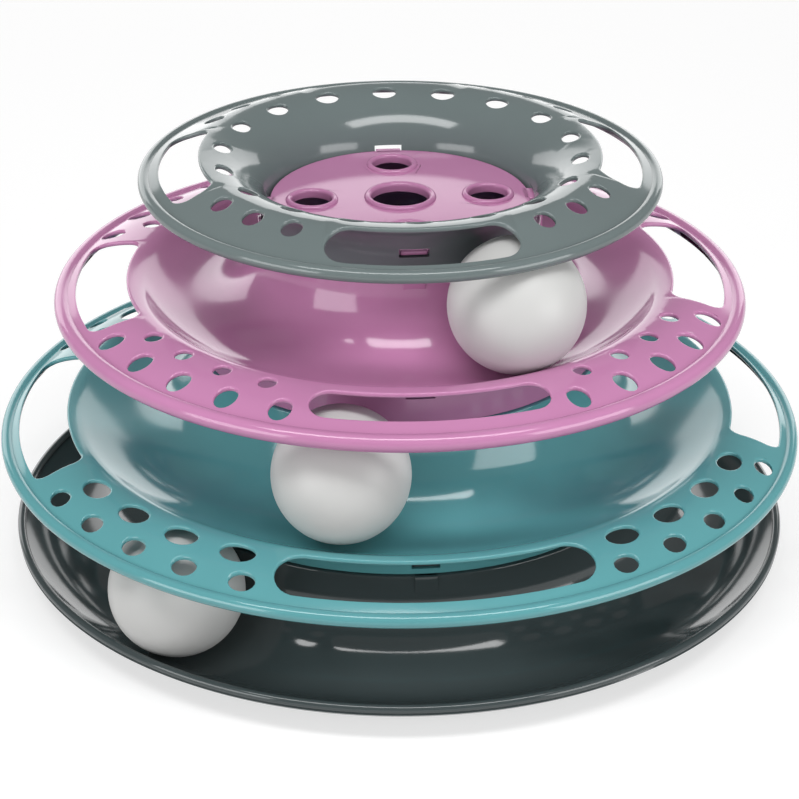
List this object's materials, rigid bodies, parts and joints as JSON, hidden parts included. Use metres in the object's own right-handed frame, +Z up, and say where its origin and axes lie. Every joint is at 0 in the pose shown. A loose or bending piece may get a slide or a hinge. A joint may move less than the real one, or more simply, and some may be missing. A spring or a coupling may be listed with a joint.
{
  "type": "cat ball track toy",
  "caption": "Round cat toy tower: perforated plastic tiers stacked on a base tray, with loose balls that roll round the open tracks between the tiers.",
  "frame": {"origin": "on the tower's axis, on the surface that the rubber feet stand on", "axes": "+Z up along the tower's axis, -Y towards the front slot that faces the viewer, +X to the viewer's right"},
  "size_m": [0.25, 0.25, 0.1302],
  "materials": {
    "dark_grey_plastic": "gloss",
    "teal_plastic": "gloss",
    "pink_plastic": "gloss",
    "grey_green_plastic": "gloss",
    "white_plastic": "satin",
    "foot_rubber": "matte"
  },
  "bodies": {
    "tower": {"base_tray": "dark_grey_plastic", "lower_tier": "teal_plastic", "middle_tier": "pink_plastic", "upper_tier": "grey_green_plastic", "foot_1": "foot_rubber", "foot_2": "foot_rubber", "foot_3": "foot_rubber", "foot_4": "foot_rubber", "foot_5": "foot_rubber", "foot_6": "foot_rubber"},
    "base_ball": {"base_ball_front": "white_plastic", "base_ball_back": "white_plastic"},
    "lower_ball": {"lower_ball_front": "white_plastic", "lower_ball_back": "white_plastic"},
    "middle_ball": {"middle_ball_front": "white_plastic", "middle_ball_back": "white_plastic"}
  },
  "joints": [
    {"name": "base_ball_orbit", "type": "hinge", "parent": "tower", "child": "base_ball", "pos_m": [0, 0, 0], "axis": [0, 0, 1], "continuous": true},
    {"name": "lower_ball_orbit", "type": "hinge", "parent": "tower", "child": "lower_ball", "pos_m": [0, 0, 0], "axis": [0, 0, 1], "continuous": true},
    {"name": "middle_ball_orbit", "type": "hinge", "parent": "tower", "child": "middle_ball", "pos_m": [0, 0, 0], "axis": [0, 0, 1], "continuous": true}
  ]
}
